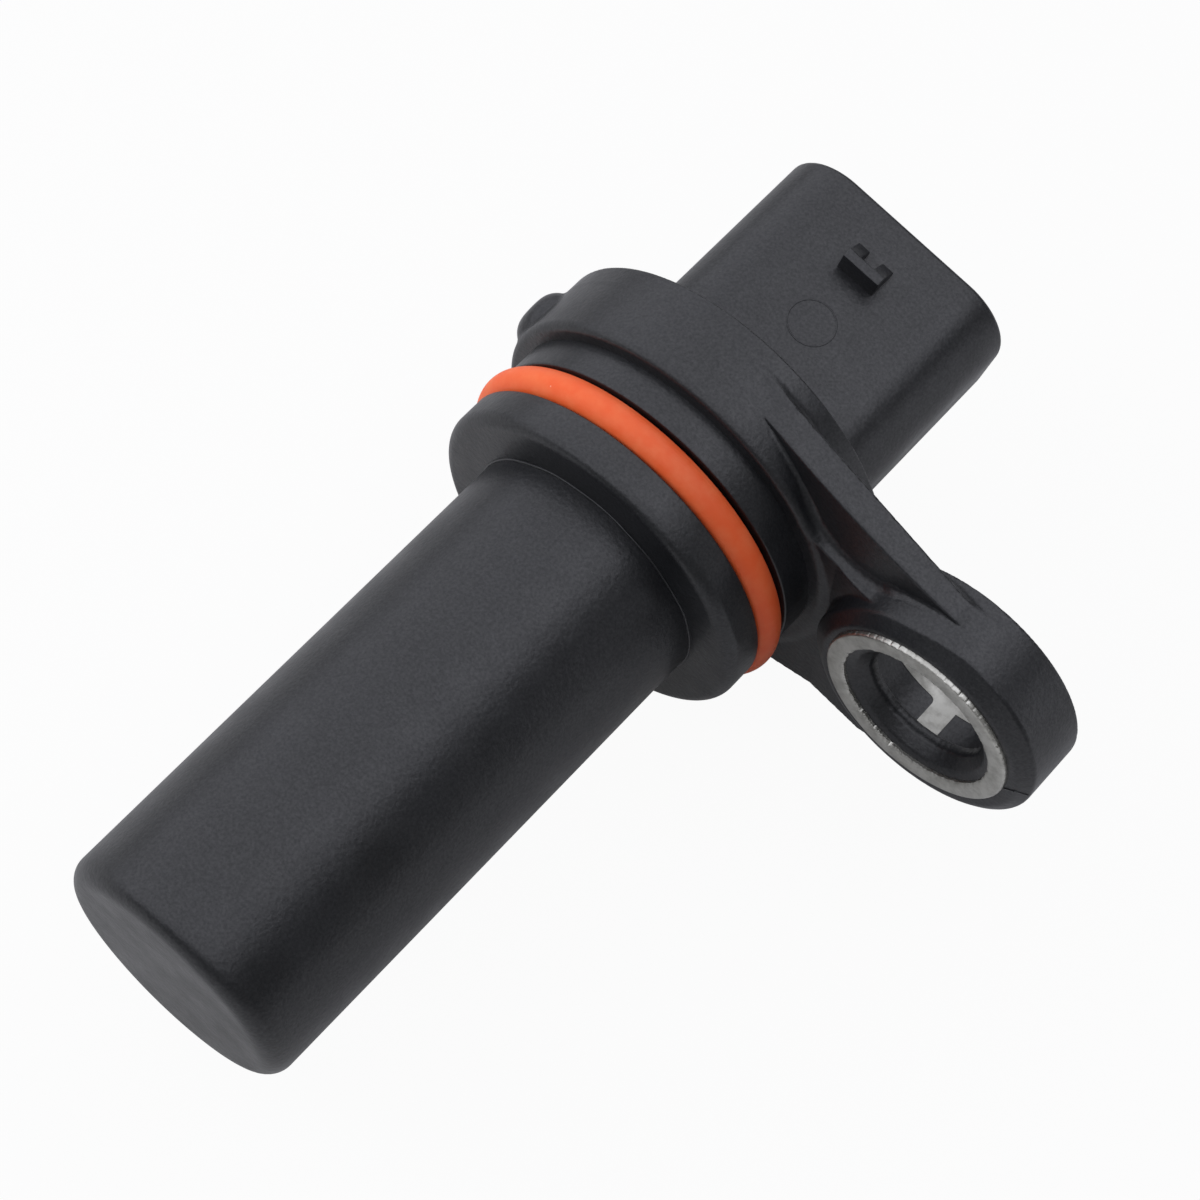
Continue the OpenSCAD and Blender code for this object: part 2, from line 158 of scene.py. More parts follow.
class InsertSizes(bpy.types.PropertyGroup):
    """Sizes of the nose, the seal ring and the bushing"""
    nose_r: length("Nose radius", "Radius of the nose", MOUNTS["nose"]["dims"]["r_mm"])
    nose_round: length("Nose rounding", "Rounding of the nose's tip", 1.5)
    nose_taper: length("Nose taper", "Loss of radius from the spigot to the tip", 0.05)
    ring_creep: length("Ring creep", "How far the ring lies back on the side away from the ear", 0.2)
    bush_leg: length("Leg width", "Width of the legs between the bushing's windows", 1.7)
    bush_ring: length("Ring length", "Length of the bushing's whole front and rear rings", 1.3)
    bush_inner: length("Bushing bore", "Inside radius of the bushing", 5.8)
    serrations: IntProperty(name="Serrations", description="Teeth round the bushing's outside", default=72, min=12)


class FinishColours(bpy.types.PropertyGroup):
    """Colours of the finishes"""
    nylon: colour("Body nylon", "Black glass-filled nylon of the body", "#17181a")
    nylon_pale: colour("Body nylon, pale grain", "Glass-rich skin of the moulding", "#212225")
    nose: colour("Nose nylon", "Black nylon of the nose", "#17181a")
    silicone: colour("Seal silicone", "Orange silicone rubber", "#e8602f")
    silicone_pale: colour("Seal silicone, bloom", "Pale bloom on the silicone", "#ee8455")
    dust: colour("Dust", "Dust that the silicone picks up", "#f0d9c4")
    zinc: colour("Bushing zinc", "Zinc plating on the steel bushing", "#cbcac3")
    zinc_dull: colour("Bushing zinc, dull", "Dull patches in the plating", "#9f9e97")
    tin: colour("Terminal tin", "Tin plating of the terminals and leads", "#c4c4be")
    iron: colour("Pole iron", "Bare soft iron of the pole plate", "#9b9b98")
    nickel: colour("Magnet nickel", "Nickel plating of the magnet", "#b4b6b8")
    polyester: colour("Holder polyester", "Dark grey polyester of the inner holder", "#43464d")
    epoxy: colour("Chip epoxy", "Black epoxy of the chip", "#222224")
    ceramic: colour("Capacitor ceramic", "Glazed ceramic of the capacitors", "#b08a58")
    paper: colour("Floor", "Pale paper of the studio floor", "#c4c4c4")


def fill(tree, node, inputs):
    """Fills a node's inputs: a socket given as a value is linked, any other value is set"""
    for key, value in dict(inputs).items():
        if isinstance(value, bpy.types.NodeSocket):
            tree.links.new(value, node.inputs[key])
        else:
            node.inputs[key].default_value = value


def add(tree, kind, inputs=(), **settings):
    """Adds a node with its settings and inputs"""
    node = tree.nodes.new(kind)
    for key, value in settings.items():
        setattr(node, key, value)
    fill(tree, node, inputs)
    return node


def noise(tree, place, apart, detail=2.0, roughness=0.5):
    """Noise with features this many millimetres apart"""
    return add(tree, "ShaderNodeTexNoise", {"Vector": place, "Scale": 1 / (apart * MM),
                                            "Detail": detail, "Roughness": roughness}).outputs["Fac"]


def remap(tree, value, low, high, to_low, to_high):
    """A value between low and high brought into another range, and held at its ends"""
    return add(tree, "ShaderNodeMapRange", {"Value": value, "From Min": low, "From Max": high,
                                            "To Min": to_low, "To Max": to_high}).outputs["Result"]


def blend(tree, share, first, second):
    """Mix of two colours, each given as three numbers or as a socket"""
    ends = {key: value if isinstance(value, bpy.types.NodeSocket) else (*value, 1)
            for key, value in (("A", first), ("B", second))}
    return add(tree, "ShaderNodeMix", {"Factor": share, **ends}, data_type="RGBA").outputs["Result"]


def relief(tree, height, strength, depth, **under):
    """Normal of a bump this many millimetres deep, over the Normal given, if any"""
    return add(tree, "ShaderNodeBump", {"Height": height, "Strength": strength, "Distance": depth * MM,
                                        **under}).outputs["Normal"]


def math_node(tree, operation, *values, **settings):
    """Result of a Math node"""
    return add(tree, "ShaderNodeMath", enumerate(values), operation=operation, **settings).outputs["Value"]


def fresh_nodes(block):
    """The empty node tree of a material or world"""
    block.use_nodes = True
    block.node_tree.nodes.clear()
    return block.node_tree


def new_finish(name):
    """A fresh material with a shader and its output, and object coordinates in metres"""
    finish = bpy.data.materials.new(name)
    tree = fresh_nodes(finish)
    shader = add(tree, "ShaderNodeBsdfPrincipled")
    add(tree, "ShaderNodeOutputMaterial", {"Surface": shader.outputs["BSDF"]})
    place = add(tree, "ShaderNodeTexCoord").outputs["Object"]
    return finish, tree, shader, place


def moulded_nylon(name, dark, pale):
    """Black glass-filled nylon from a spark-eroded mould: a dull, even skin with a fine grain,
    slightly paler where glass fibre lies at the surface, and a soft wide sheen."""
    finish, tree, shader, place = new_finish(name)
    # The real grain is about 0.05 mm; it is drawn at 0.4 mm so that it shows.
    grain = noise(tree, place, 0.4, detail=3.0, roughness=0.6)
    cloud = noise(tree, place, 7, detail=4.0, roughness=0.55)
    flow = noise(tree, place, 2.4)
    # Single glass fibres are about 0.01 mm thick; their glints are drawn as a 0.2 mm mottle.
    mottle = noise(tree, place, 0.2, roughness=0.6)
    share = math_node(tree, "ADD", remap(tree, cloud, 0.35, 0.75, 0, 0.55),
                      remap(tree, grain, 0.55, 0.8, 0, 0.45), use_clamp=True)
    low = relief(tree, flow, 0.12, 0.05)
    fill(tree, shader, {
        "Base Color": blend(tree, share, dark, pale),
        "Roughness": remap(tree, flow, 0.3, 0.7, 0.32, 0.4),
        "Specular IOR Level": remap(tree, mottle, 0.3, 0.7, 0.4, 0.6),
        "Normal": relief(tree, grain, 0.6, 0.05, Normal=low),
        "IOR": 1.56,
    })
    return finish


def moulded_silicone(name, body, bloom, dust):
    """Orange silicone rubber from a polished mould: saturated, a little translucent, with a waxy sheen,
    a faint pale bloom and a few specks of dust that it always picks up."""
    finish, tree, shader, place = new_finish(name)
    cloud = noise(tree, place, 1.6, detail=5.0, roughness=0.6)
    fuzz = noise(tree, place, 0.16)
    cells = add(tree, "ShaderNodeTexVoronoi", {"Vector": place, "Scale": 1 / (1.9 * MM)}).outputs["Distance"]
    skin = blend(tree, remap(tree, cloud, 0.4, 0.75, 0, 0.45), body, bloom)
    fill(tree, shader, {
        "Base Color": blend(tree, remap(tree, cells, 0.055, 0.035, 0, 0.6), skin, dust),
        "Roughness": remap(tree, cloud, 0, 1, 0.42, 0.6),
        "Normal": relief(tree, fuzz, 0.18, 0.04),
        "IOR": 1.41,
        "Subsurface Weight": 0.05,
        "Subsurface Radius": (0.6 * MM, 0.2 * MM, 0.1 * MM),
        "Subsurface Scale": 1.0,
    })
    return finish


def plated_metal(name, bright, dull, roughness, patch, scratch, painted_shade_from=None):
    """Plated, rolled or stamped metal: bright, with dull patches in the plating and fine rolling lines, and where
    asked, painted shade that darkens it further back along y.
    """
    finish, tree, shader, place = new_finish(name)
    blot = noise(tree, place, patch, detail=6.0, roughness=0.65)
    lines = noise(tree, place, scratch, detail=3.0, roughness=0.7)
    skin = blend(tree, remap(tree, blot, 0.42, 0.7, 0, 0.85), bright, dull)
    if painted_shade_from is not None:
        # Painted shade: past the given depth the colour greys towards a darker dull over a millimetre, for the
        # shade that falls inside the bore.
        depth = add(tree, "ShaderNodeSeparateXYZ", {"Vector": place}).outputs["Y"]
        share = remap(tree, depth, painted_shade_from * MM, (painted_shade_from + 1) * MM, 0, 0.5)
        skin = blend(tree, share, skin, [0.4 * v for v in dull])
    fill(tree, shader, {
        "Base Color": skin,
        "Roughness": remap(tree, blot, 0.3, 0.7, roughness - 0.08, roughness + 0.12),
        "Normal": relief(tree, lines, 0.3, 0.03),
        "Metallic": 1.0,
    })
    return finish


def plain_casting(name, body, roughness, grain_mm, ior):
    """Cast or moulded small part: one body colour, with a fine grain in tone and surface."""
    finish, tree, shader, place = new_finish(name)
    grain = noise(tree, place, grain_mm, detail=4.0)
    fill(tree, shader, {
        "Base Color": blend(tree, grain, [c * 0.8 for c in body], [c * 1.2 for c in body]),
        "Normal": relief(tree, grain, 0.2, 0.04),
        "Roughness": roughness,
        "IOR": ior,
    })
    return finish


def finished(piece, finish):
    """Gives a piece its only finish and its ride on the sensor"""
    piece.data.materials.clear()
    piece.data.materials.append(finish)
    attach(piece, "root")
    return piece


def piece_from(name, points, faces, crease=None):
    """A mesh object from points in millimetres; edges sharper than crease, in degrees, stay sharp"""
    mesh = bpy.data.meshes.new(name)
    mesh.from_pydata((np.asarray(points, float) * MM).tolist(), [], faces)
    mesh.validate()
    mesh.shade_smooth()
    if crease is not None:
        mesh.set_sharp_from_angle(angle=math.radians(crease))
    piece = bpy.data.objects.new(name, mesh)
    bpy.context.scene.collection.objects.link(piece)
    return piece


def turned(profile, steps, centre=(0.0, 0.0), shape=None):
    """Points and faces of a closed profile of (radius, y) pairs turned about a line along Y"""
    profile = np.asarray(profile, float)
    angle = np.linspace(0, 2 * math.pi, steps, endpoint=False)
    radius = np.repeat(profile[None, :, 0], steps, 0)
    along = np.repeat(profile[None, :, 1], steps, 0)
    if shape is not None:
        radius, along = shape(angle[:, None], radius, along)
    points = np.stack([centre[0] + radius * np.cos(angle)[:, None], along,
                       centre[1] + radius * np.sin(angle)[:, None]], -1).reshape(-1, 3)
    count = len(profile)
    i, j = np.meshgrid(np.arange(steps), np.arange(count), indexing="ij")
    a, b = i * count, ((i + 1) % steps) * count
    faces = np.stack([a + j, a + (j + 1) % count, b + (j + 1) % count, b + j], -1).reshape(-1, 4)
    return points, faces.tolist()


def arc(centre, radius, start, end, steps):
    """Points of an arc in a profile, angles in degrees from outwards towards +y"""
    angles = np.radians(np.linspace(start, end, steps))
    return [(centre[0] + radius * math.cos(t), centre[1] + radius * math.sin(t)) for t in angles]


def oval(centre, half_r, half_y, steps):
    """Closed oval profile of (radius, y) pairs"""
    angles = np.linspace(0, 2 * math.pi, steps, endpoint=False)
    return [(centre[0] + half_r * math.cos(t), centre[1] + half_y * math.sin(t)) for t in angles]


def bar(distance, along, low, high, edge):
    """Distance to a solid of this outline between two stations, with rounded edges"""
    out = distance + edge
    end = np.abs(along - (low + high) / 2) - (high - low) / 2 + edge
    return np.hypot(np.maximum(out, 0), np.maximum(end, 0)) + np.minimum(np.maximum(out, end), 0) - edge


def joined(a, b, hollow):
    """Union of two solids with a hollow rounding where they meet"""
    return np.maximum(hollow, np.minimum(a, b)) - np.hypot(np.maximum(hollow - a, 0), np.maximum(hollow - b, 0))


def carved(a, b, edge):
    """First solid less the second, with rounded rims"""
    return np.minimum(-edge, np.maximum(a, -b)) + np.hypot(np.maximum(edge + a, 0), np.maximum(edge - b, 0))


def drop(x, z, big, small, apart):
    """Distance to the outline round a big and a small circle with straight touching sides"""
    lean = (big - small) / apart
    rise = math.sqrt(1 - lean * lean)
    z = np.abs(z)
    along = rise * x - lean * z
    side = rise * z + lean * x - big
    return np.where(along < 0, np.hypot(x, z) - big,
                    np.where(along > rise * apart, np.hypot(x - apart, z) - small, side))


def neck(x, z, big, small, apart, hollow):
    """Distance to the neck with hollow sides between the two circles"""
    far, near = big + hollow, small + hollow
    centre_x = (apart * apart + far * far - near * near) / (2 * apart)
    centre_z = math.sqrt(far * far - centre_x * centre_x)
    z = np.abs(z)
    sides = hollow - np.hypot(x - centre_x, z - centre_z)
    # Inside the two circles it narrows to their centres.
    at_big = (z * centre_x - x * centre_z) / far
    at_small = (z * (apart - centre_x) - (apart - x) * centre_z) / near
    return np.maximum(np.maximum(sides, z - centre_z), np.maximum(at_big, at_small))


def skin_of(field, low, high, pitch):
    """Points, faces and normals of the surface where field is zero, on a grid of this pitch"""
    axes = [np.arange(a, b + pitch, pitch) for a, b in zip(low, high)]
    values = field(*np.meshgrid(*axes, indexing="ij")).astype(np.float32)
    inside = values < 0
    n = [len(a) - 1 for a in axes]
    corners = [(i, j, k) for i in (0, 1) for j in (0, 1) for k in (0, 1)]
    count = sum(inside[i:i + n[0], j:j + n[1], k:k + n[2]].astype(np.int8) for i, j, k in corners)
    cells = np.argwhere((count > 0) & (count < 8))
    number = np.full(count.shape, -1, np.int64)
    number[tuple(cells.T)] = np.arange(len(cells))
    # Each cell on the surface gets one point, at the mean of its crossed edges.
    at = np.stack([values[tuple((cells + c).T)] for c in corners], 1)
    total, hits = np.zeros((len(cells), 3)), np.zeros(len(cells))
    for a in range(8):
        for b in range(a + 1, 8):
            if sum(p != q for p, q in zip(corners[a], corners[b])) == 1:
                cross = (at[:, a] < 0) != (at[:, b] < 0)
                t = at[cross, a] / (at[cross, a] - at[cross, b])
                step = np.array(corners[b]) - np.array(corners[a])
                total[cross] += np.array(corners[a]) + t[:, None] * step
                hits[cross] += 1
    points = np.array([a[0] for a in axes]) + (cells + total / hits[:, None]) * pitch
    # A few Newton steps bring the points onto the surface.
    h = pitch * 0.05
    for _ in range(3):
        here = field(*points.T)
        slope = np.stack([(field(*(points + h * e).T) - field(*(points - h * e).T)) / (2 * h)
                          for e in np.eye(3)], 1)
        step = np.clip(here / np.maximum((slope ** 2).sum(1), 0.25), -pitch, pitch)
        points -= step[:, None] * slope
    slope /= np.maximum(np.linalg.norm(slope, axis=1, keepdims=True), 1e-9)
    # Each crossed grid edge gives one face through the four cells round it.
    faces = []
    for axis in range(3):
        u, v = (axis + 1) % 3, (axis + 2) % 3
        near, far = [slice(None)] * 3, [slice(None)] * 3
        near[axis], far[axis] = slice(0, -1), slice(1, None)
        edges = np.argwhere(inside[tuple(near)] != inside[tuple(far)])
        edges = edges[(edges[:, u] > 0) & (edges[:, v] > 0) & (edges[:, u] < n[u]) & (edges[:, v] < n[v])]
        flip = inside[tuple(edges.T)]
        ring = []
        for du, dv in ((1, 1), (0, 1), (0, 0), (1, 0)):
            cell = edges.copy()
            cell[:, u] -= du
            cell[:, v] -= dv
            ring.append(number[tuple(cell.T)])
        quad = np.stack(ring, 1)
        quad[~flip] = quad[~flip][:, ::-1]
        faces.append(quad)
    return points, np.concatenate(faces).tolist(), slope


def in_mm(group):
    """A property group's lengths in millimetres, and its other values as they are"""
    kinds = group.bl_rna.properties
    return {k: getattr(group, k) / MM if kinds[k].unit == "LENGTH" else getattr(group, k)
            for k in kinds.keys() if k not in ("rna_type", "name")}


class SENSOR_OT_spigot(bpy.types.Operator):
    """Builds the spigot with the groove for the seal ring"""
    bl_idname = "sensor.spigot"
    bl_label = "Spigot"

    def execute(self, context):
        b = in_mm(context.scene.sensor_body)
        front, back = BODY_LOW.y / MM, b["flange_front"] + 0.5
        r, floor, edge, small, core = b["spigot_r"], b["groove_r"], b["spigot_round"], 0.14, 6.0
        near, far = -b["groove_front"], -b["groove_back"]
        profile = [(core, front)] + arc((r - edge, front + edge), edge, -90, 0, 12)
        profile += arc((r - small, near - small), small, 0, 90, 5)
        profile += arc((floor + small, near + small), small, 270, 180, 5)
        profile += arc((floor + small, far - small), small, 180, 90, 5)
        profile += arc((r - small, far + small), small, -90, 0, 5)
        points, faces = turned(profile + [(r, back), (core, back)], steps=288)
        c = context.scene.sensor_colours
        piece = piece_from("spigot", points, faces, crease=40)
        finished(piece, moulded_nylon(BODY_NYLON, c.nylon, c.nylon_pale))
        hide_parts("body_moulding")
        return {"FINISHED"}


class SENSOR_OT_flange(bpy.types.Operator):
    """Builds the flange with its bolt ear, thin web, hollow neck and nub as one moulded skin"""
    bl_idname = "sensor.flange"
    bl_label = "Flange and Ear"

    def execute(self, context):
        b = in_mm(context.scene.sensor_body)
        cos_n, sin_n = math.cos(b["nub_turn"]), math.sin(b["nub_turn"])
        # Roundings of outer edges and of hollow corners, and how far inside its walls the neck ends.
        rear_edge, web_edge, ear_edge, rim_edge = 0.16, 0.18, 0.15, 0.12
        neck_fillet, flange_fillet, inset = 0.15, 0.4, 0.16
        # Leans along x: of the web's front edge, with its bow, and rear edge, and of the neck's front
        # up to the station where it reaches the ear's.
        web_middle, front_lean, front_bow, back_lean = 14.65, 0.083, 0.0043, 0.118
        neck_lean, neck_end = 0.2, 18.7
        nub_root, nub_edge = 8.0, 1.7

        def field(x, y, z):
            round_axis, round_bolt = np.hypot(x, z), np.hypot(x - BOLT_X, z)
            flange = bar(round_axis - b["flange_r"], y, b["flange_front"], b["flange_back"] + 2, b["flange_round"])
            flange = carved(flange, b["flange_back"] - y, rear_edge)
            # The web dives into the flange and the ear at its ends, so that both stay smooth.
            dive = 0.1 * np.clip(7 - x, 0, 4) + 0.15 * np.clip(x - 22.5, 0, 3)
            outline = drop(x, z, b["flange_r"], b["ear_r"], BOLT_X) + dive
            depth = np.clip(-outline, 0, 4)
            beyond = np.clip(x, 4, 26) - web_middle
            front = b["web_front"] - front_lean * beyond + front_bow * beyond ** 2 - 0.05 * depth
            back = b["web_back"] - back_lean * beyond
            web = bar(outline, y, front, back, web_edge)
            # The neck's front leans from the flange's edge to the ear's, and only its upper side is hollow.
            hollow = neck(x, z, b["flange_r"] - inset, b["ear_r"] - inset, BOLT_X, b["neck_r"])
            hollow = hollow + 0.25 * (2.6 - y) + 0.2 * np.clip(12 - x, 0, 2)
            lean = b["ear_front"] + neck_lean * (neck_end - x)
            lean = np.clip(lean, b["ear_front"], b["flange_front"] + 0.2)
            plate = bar(np.where(z > 0, hollow, outline), y, lean, b["web_front"] + 0.4, ear_edge)
            # The ear leans in towards the neck, and its pad slopes down all round the bushing.
            draft = 0.22 * np.clip((25 - x) / 4, 0, 1) * np.clip(2.8 - y, 0, 2) * np.clip(z / 4, 0, 1)
            ear = bar(round_bolt - b["ear_r"] + draft, y, b["pad_front"], b["ear_back"], ear_edge)
            past_rim = np.hypot(x - BOLT_X - PAD_X, z - PAD_Z) - b["slope_r"]
            slope = PAD_SINE * past_rim - PAD_COSINE * (y - b["ear_front"])
            ear = carved(ear, -slope, rim_edge)
            out, side = -cos_n * x + sin_n * z, sin_n * x + cos_n * z
            across = np.hypot(y - b["nub_middle"], side)
            nub = bar(across - b["nub_r"], out, nub_root, b["nub_reach"], nub_edge)
            solid = joined(flange, joined(ear, plate, neck_fillet), flange_fillet)
            # The pocket's creases grow from nothing; behind the web they are soft.
            crease = np.clip(0.5 * depth, 0.05, 0.3) + 0.3 * np.clip(depth - 1.8, 0, 1)
            solid = joined(solid, web, crease + 0.5 * np.clip(y - (front + back) / 2, 0, 1))
            solid = joined(solid, nub, b["fillet"])
            return carved(solid, round_bolt - b["bore_r"], rim_edge)

        margin = 3 * b["pitch"]
        low = [BODY_LOW.x / MM - margin, b["pad_front"] - margin, BODY_LOW.z / MM - margin]
        high = [BODY_HIGH.x / MM + margin, b["flange_back"] + margin, BODY_HIGH.z / MM + margin]
        points, faces, normals = skin_of(field, low, high, b["pitch"])
        piece = piece_from("flange_and_ear", points, faces)
        piece.data.normals_split_custom_set_from_vertices(normals.tolist())
        finished(piece, bpy.data.materials[BODY_NYLON])
        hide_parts("body_moulding")
        return {"FINISHED"}


class SENSOR_OT_shroud(bpy.types.Operator):
    """Builds the plug's shroud with its rounded rim and its socket"""
    bl_idname = "sensor.shroud"
    bl_label = "Plug Shroud"

    def execute(self, context):
        b, p = in_mm(context.scene.sensor_body), in_mm(context.scene.sensor_plug)
        base, rim, wall, floor = b["flange_back"], BODY_HIGH.y / MM, p["wall"], p["floor"]
        # Roundings of the rim's outside, of its mouth and of the socket's floor.
        outer, mouth, corner = 0.4, 0.3, 0.5
        # Loops as (inset from the outside, station along the axis).
        loops = [(0.0, base - 0.4), (0.0, base + 0.02)]
        loops += [(0.0, y) for y in np.linspace(base + 1, rim - outer, 8)]
        loops += arc((outer, rim - outer), outer, 165, 90, 6)
        loops += arc((wall - mouth, rim - mouth), mouth, 90, 0, 6)
        loops += [(wall, y) for y in np.linspace(rim - 2, floor + corner, 6)]
        loops += arc((wall + corner, floor + corner), corner, 195, 270, 6)
        cos_p, sin_p = math.cos(p["turn"]), math.sin(p["turn"])
        half_w, half_h = p["width"] / 2 - p["corner"], p["height"] / 2 - p["corner"]
        per_corner = 17
        points, count = [], 4 * per_corner
        for inset, y in loops:
            r = max(p["corner"] - inset, 0.05)
            for quarter, (sx, sz) in enumerate(((1, 1), (-1, 1), (-1, -1), (1, -1))):
                for t in np.radians(np.linspace(0, 90, per_corner) + 90 * quarter):
                    u, v = sx * half_w + r * math.cos(t) + p["offset"], sz * half_h + r * math.sin(t)
                    points.append((cos_p * u + sin_p * v, y, -sin_p * u + cos_p * v))
        faces = [(k + m, k + count + m, k + count + (m + 1) % count, k + (m + 1) % count)
                 for k in range(0, len(points) - count, count) for m in range(count)]
        faces += [tuple(range(count)), tuple(reversed(range(len(points) - count, len(points))))]
        piece = piece_from("plug_shroud", points, faces, crease=40)
        finished(piece, bpy.data.materials[BODY_NYLON])
        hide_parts("body_moulding")
        return {"FINISHED"}


class SENSOR_OT_plug_details(bpy.types.Operator):
    """Builds the lock nib and ejector mark on the shroud, the lip in the bushing and the parting line"""
    bl_idname = "sensor.plug_details"
    bl_label = "Moulded Details"

    def execute(self, context):
        b, p = in_mm(context.scene.sensor_body), in_mm(context.scene.sensor_plug)
        rim, top = BODY_HIGH.y / MM, p["height"] / 2
        nylon = bpy.data.materials[BODY_NYLON]
        cos_p, sin_p = math.cos(p["turn"]), math.sin(p["turn"])

        def on_top(points):
            """From (across, y, up from the connector's axis) to the row frame"""
            across, along, up = np.asarray(points, float).T
            return np.stack([cos_p * across + sin_p * up, along, -sin_p * across + cos_p * up], 1)

        # The nib is an upright wall between two ramps, sunk a little into the shroud.
        back, tall, deep, sunk = rim - p["nib_back"], p["nib_height"], p["nib_length"], 0.4
        crest, half, slot = deep / 3, p["nib_width"] / 2, p["nib_slot"] / 2
        wedge = [(-sunk, 0), (tall, 0), (tall, crest), (sunk * 0.6, deep), (-sunk, deep)]
        wall = [(-sunk, 0), (tall, 0), (tall, crest), (-sunk, crest)]
        points, faces = [], []
        for outline, low, high in ((wedge, -half, -slot), (wall, -slot, slot), (wedge, slot, half)):
            first, count = len(points), len(outline)
            for across in (low, high):
                points += [(across, back + along, top + up) for up, along in outline]
            far = first + count
            faces += [tuple(range(first, far)), tuple(reversed(range(far, far + count)))]
            faces += [(first + k, far + k, far + (k + 1) % count, first + (k + 1) % count) for k in range(count)]
        nib = piece_from("lock_nib", on_top(points), faces)
        weld = nib.modifiers.new("weld", "WELD")
        weld.merge_threshold = 0.001 * MM
        edge = nib.modifiers.new("edge", "BEVEL")
        edge.width, edge.segments, edge.limit_method = p["nib_edge"] * MM, 3, "ANGLE"
        finished(nib, nylon)

        points, faces = turned(oval((p["mark_r"], 0.0), 0.06, 0.035, 10), steps=96)
        points = on_top(np.stack([points[:, 0], rim - p["mark_back"] + points[:, 2], top + points[:, 1]], 1))
        finished(piece_from("ejector_mark", points, faces), nylon)

        inner, lip = b["bore_r"] + 0.05, b["lip_r"]
        profile = [(inner, 0.3), (inner - 0.55, 0.42), (inner - 0.75, 0.62), (lip + 0.12, 1.2),
                   (lip, 1.36), (lip, 2.02), (lip + 0.1, 2.12), (inner, 2.6)]

        def ragged(angle, radius, along):
            """The lip's inner edge, uneven from thin flash"""
            rag = 0.02 * np.sin(9 * angle) * np.sin(23 * angle + 1) + 0.012 * np.sin(57 * angle)
            return radius - rag * (radius < lip + 0.11), along

        points, faces = turned(profile, 240, (BOLT_X, BOLT_Z), ragged)
        finished(piece_from("bolt_lip", points, faces, crease=50), nylon)

        # The slide's parting line crosses the pad and its slope, from the bushing to the ear's edge,
        # as a low step: (x, z) along it, and (across, up) round its section.
        track = np.array([(30.2, -0.69), (30.64, -0.33), (30.95, -0.14),
                          (31.2, -0.19), (31.5, -0.35), (31.74, -0.46)])
        section = ((-0.22, -0.15), (-0.2, 0.0), (-0.02, 0.07), (0.01, -0.02), (0.02, -0.15))
        ahead = np.gradient(track, axis=0)
        ahead /= np.linalg.norm(ahead, axis=1)[:, None]
        points, count = [], len(section)
        for (x, z), (ahead_x, ahead_z) in zip(track, ahead):
            for across, up in section:
                at_x, at_z = x - across * ahead_z, z + across * ahead_x
                past_rim = math.hypot(at_x - BOLT_X - PAD_X, at_z - PAD_Z) - b["slope_r"]
                face = max(b["pad_front"], b["ear_front"] + PAD_RISE * past_rim)
                points.append((at_x, face - up, at_z))
        last = len(points) - count
        faces = [(k + m, k + (m + 1) % count, k + count + (m + 1) % count, k + count + m)
                 for k in range(0, last, count) for m in range(count)]
        faces += [tuple(reversed(range(count))), tuple(range(last, last + count))]
        finished(piece_from("parting_line", points, faces, crease=35), nylon)
        return {"FINISHED"}


class SENSOR_OT_nose(bpy.types.Operator):
    """Builds the nose with its rounded flat tip and the thin flash where the body was moulded on"""
    bl_idname = "sensor.nose"
    bl_label = "Nose"

    def execute(self, context):
        s = in_mm(context.scene.sensor_inserts)
        tip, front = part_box("nose_cup")[0].y / MM, BODY_LOW.y / MM
        r, edge, taper, buried = s["nose_r"], s["nose_round"], s["nose_taper"], 1.5
        profile = [(0.0, front + buried), (r, front + buried)]
        profile += [(r - taper * t, front + (tip + edge - front) * t) for t in np.linspace(0, 1, 24)]
        profile += arc((r - taper - edge, tip + edge), edge, 0, -90, 12)[1:]
        profile += [(r - taper - edge - 0.3, tip), (0.0, tip + 0.02)]
        points, faces = turned(profile, steps=256)
        c = context.scene.sensor_colours
        nylon = moulded_nylon("nose_nylon_moulded", c.nose, c.nylon_pale)
        nose = piece_from("nose", points, faces, crease=60)
        finished(nose, nylon)
        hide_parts("nose_cup")

        def wavy(angle, radius, along):
            """Flash that creeps a little to and fro along the nose"""
            return radius, along + 0.02 * np.sin(5 * angle) + 0.02 * np.sin(13 * angle + 2)

        points, faces = turned(oval((r + 0.03, front - 0.02), 0.1, 0.09, 10), 256, shape=wavy)
        finished(piece_from("moulding_flash", points, faces), nylon)
        return {"FINISHED"}


class SENSOR_OT_seal(bpy.types.Operator):
    """Builds the seal ring"""
    bl_idname = "sensor.seal"
    bl_label = "Seal Ring"

    def execute(self, context):
        s = in_mm(context.scene.sensor_inserts)
        centre_y = (RING_LOW.y + RING_HIGH.y) / 2 / MM
        tube = (RING_HIGH.y - RING_LOW.y) / 2 / MM
        radius = RING_HIGH.x / MM - tube
        points, faces = turned(oval((radius, centre_y), tube, tube, 48), steps=288)
        # The free ring has crept back in its groove on the side away from the ear.
        points[:, 1] += s["ring_creep"] / 2 * (1 - points[:, 0] / (radius + tube))
        c = context.scene.sensor_colours
        ring = piece_from("seal_ring", points, faces)
        silicone = moulded_silicone("orange_silicone_moulded", c.silicone, c.silicone_pale, c.dust)
        finished(ring, silicone)
        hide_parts("o_ring")
        return {"FINISHED"}


